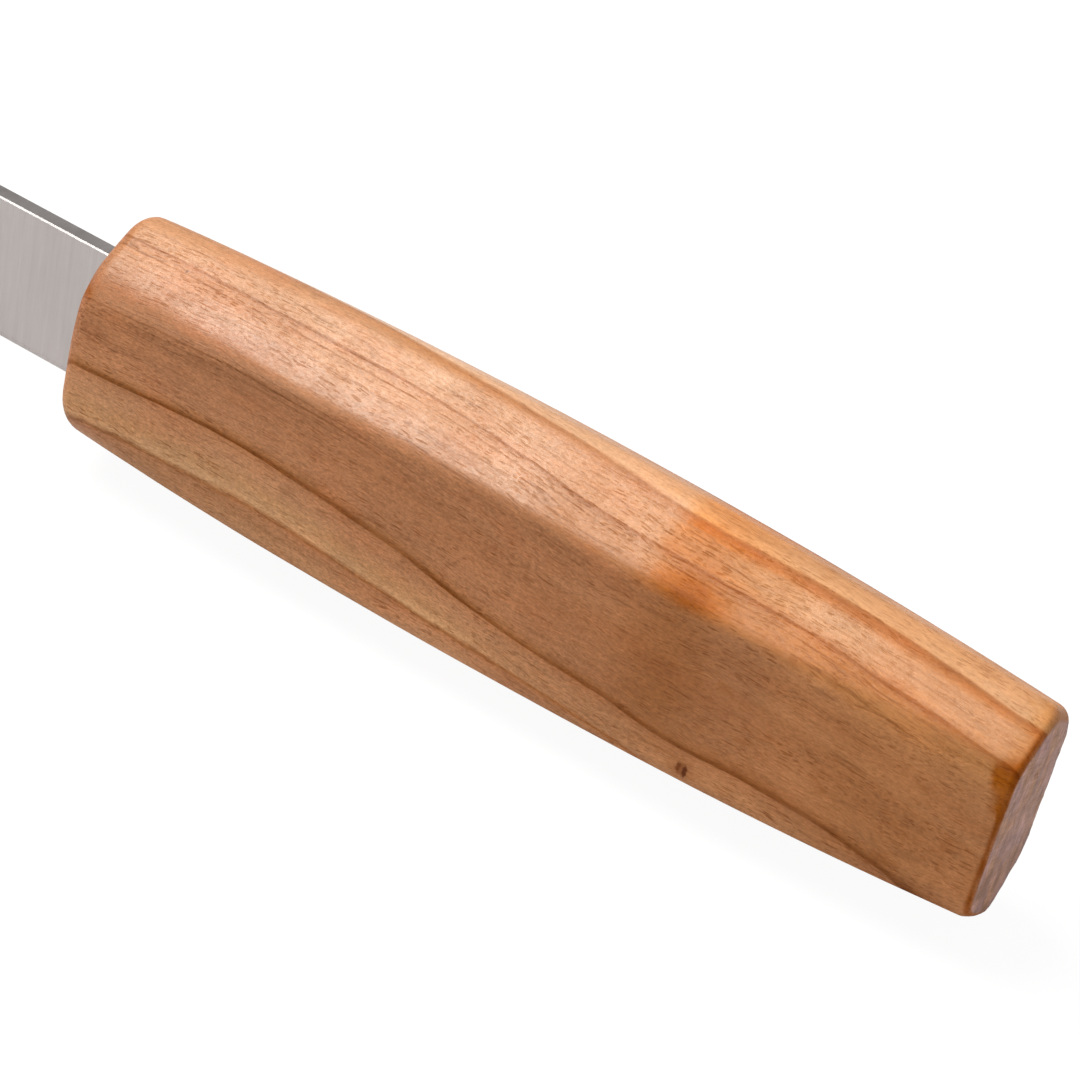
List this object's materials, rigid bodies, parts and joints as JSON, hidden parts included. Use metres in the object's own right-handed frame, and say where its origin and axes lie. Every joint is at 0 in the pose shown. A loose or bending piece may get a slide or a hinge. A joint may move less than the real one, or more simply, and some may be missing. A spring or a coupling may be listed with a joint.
{
  "type": "whittling knife",
  "caption": "Fixed-blade whittling knife: flat-ground steel blade with a stick tang bonded into a one-piece hexagonal cherry-wood handle with a gentle palm swell.",
  "frame": {"origin": "centre of the flat butt face of the handle, midway between the two side facets", "axes": "+X along the knife from blade to butt, outward normal of the butt face; +Z towards the spine side, the cutting edge is on the -Z side; +Y and -Y are the flat sides, parallel to the blade"},
  "size_m": [0.2, 0.0204, 0.0324],
  "materials": {
    "blade_steel": "satin, fine grinding lines running from spine to edge",
    "handle_wood": "oiled cherry, satin, fine pores along the grain",
    "adhesive": "cured dark epoxy"
  },
  "bodies": {
    "root": {"blade": "blade_steel", "handle": "handle_wood", "tang_adhesive": "adhesive"}
  },
  "joints": []
}
